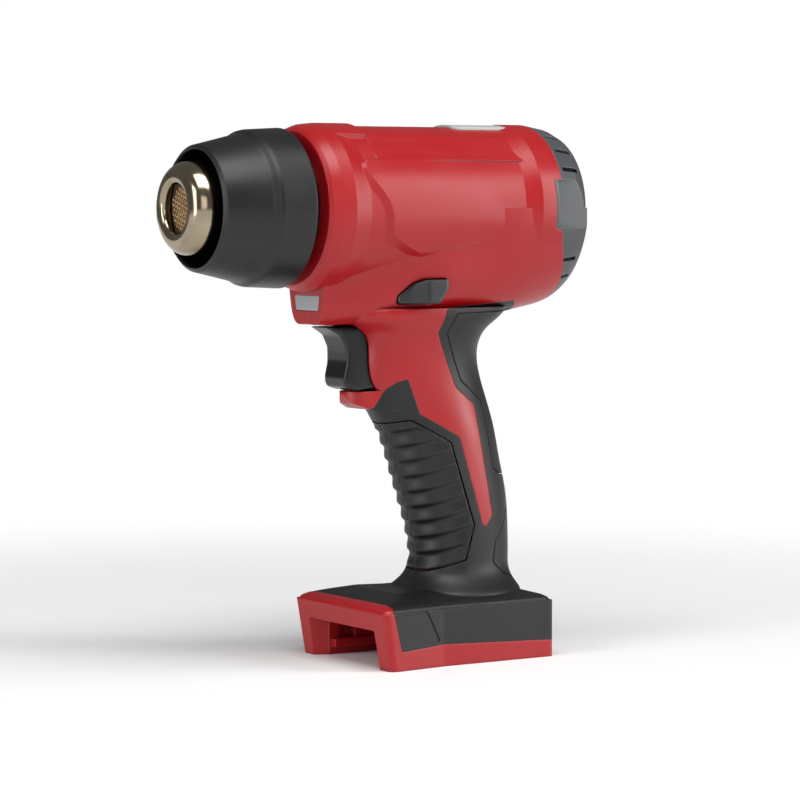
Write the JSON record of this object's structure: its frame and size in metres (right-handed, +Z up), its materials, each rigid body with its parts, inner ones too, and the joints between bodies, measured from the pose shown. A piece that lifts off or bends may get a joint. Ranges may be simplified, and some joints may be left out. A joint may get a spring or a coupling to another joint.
{
  "type": "cordless heat gun",
  "caption": "Pistol-grip cordless heat gun with a steel hot-air nozzle in a heat guard, finger trigger, sliding lock, lamp and a battery slot in its foot.",
  "frame": {"origin": "centre of the bounding box on the plane of the foot's underside", "axes": "+X the way the hot air leaves, +Y the tool's left side, +Z up from the foot to the barrel"},
  "size_m": [0.162, 0.0638, 0.2002],
  "materials": {
    "red_housing": "satin moulded red glass-filled nylon",
    "black_rubber": "overmoulded thermoplastic rubber, fine matt texture",
    "grey_cap": "graphite grey glass-filled nylon",
    "black_plastic": "black heat-resistant plastic, satin",
    "dark_control": "black moulded plastic, semi gloss",
    "lens": "frosted polycarbonate",
    "badge": "pale grey inlay",
    "stainless": "polished stainless steel with heat tint",
    "steel": "zinc plated steel",
    "heat_wire": "oxidised resistance wire",
    "mica": "pressed mica",
    "ceramic": "moulded ceramic-filled phenolic",
    "white_nylon": "natural nylon",
    "magnet": "sintered ferrite",
    "copper": "enamelled copper winding and copper bars",
    "bronze": "sintered bronze",
    "carbon": "carbon graphite",
    "board": "glass-epoxy board with solder mask",
    "aluminium": "extruded aluminium",
    "wire_sleeve": "silicone wire insulation"
  },
  "bodies": {
    "housing": {"air_duct": "white_nylon", "brushes": "carbon", "capacitor": "aluminium", "contact_blades": "copper", "control_board": "board", "end_bell": "black_plastic", "front_bush": "bronze", "front_collar": "black_plastic", "heat_sink": "aluminium", "heater_coil": "heat_wire", "heater_core": "mica", "heater_holder": "ceramic", "heater_leads": "wire_sleeve", "heel_pad_left": "black_rubber", "heel_pad_right": "black_rubber", "housing_left": "red_housing", "housing_right": "red_housing", "housing_screws": "steel", "intake_screen": "steel", "led_board": "board", "led_chips": "lens", "led_lens": "lens", "mica_sleeve": "mica", "motor_can": "steel", "motor_leads": "wire_sleeve", "motor_magnets": "magnet", "motor_mount": "white_nylon", "nozzle_screen": "heat_wire", "nozzle_tube": "stainless", "overmould_left": "black_rubber", "overmould_right": "black_rubber", "power_leads": "wire_sleeve", "rear_bush": "bronze", "rear_cap": "grey_cap", "rear_pad_left": "black_rubber", "rear_pad_right": "black_rubber", "ribbed_grip_left": "black_rubber", "ribbed_grip_right": "black_rubber", "switch_body": "black_plastic", "switch_leads": "wire_sleeve", "terminal_block": "black_plastic", "top_badge": "badge", "trigger_spring": "steel"},
    "trigger": {"trigger": "dark_control", "trigger_stem": "white_nylon"},
    "lock": {"lock_button": "dark_control"},
    "rotor": {"fan_impeller": "black_plastic", "armature": "copper", "commutator": "copper", "motor_shaft": "steel"}
  },
  "joints": [
    {"name": "trigger_pull", "type": "slide", "parent": "housing", "child": "trigger", "axis": [-1, 0, 0], "range_m": [0, 0.006], "stiffness_N_per_m": 700, "springref_m": -0.002, "deforming": ["trigger_spring"]},
    {"name": "lock_slide", "type": "slide", "parent": "housing", "child": "lock", "axis": [0, -1, 0], "range_m": [0, 0.005]},
    {"name": "rotor_spin", "type": "hinge", "parent": "housing", "child": "rotor", "pos_m": [-0.04, 0, 0.1688], "axis": [1, 0, 0], "continuous": true}
  ]
}
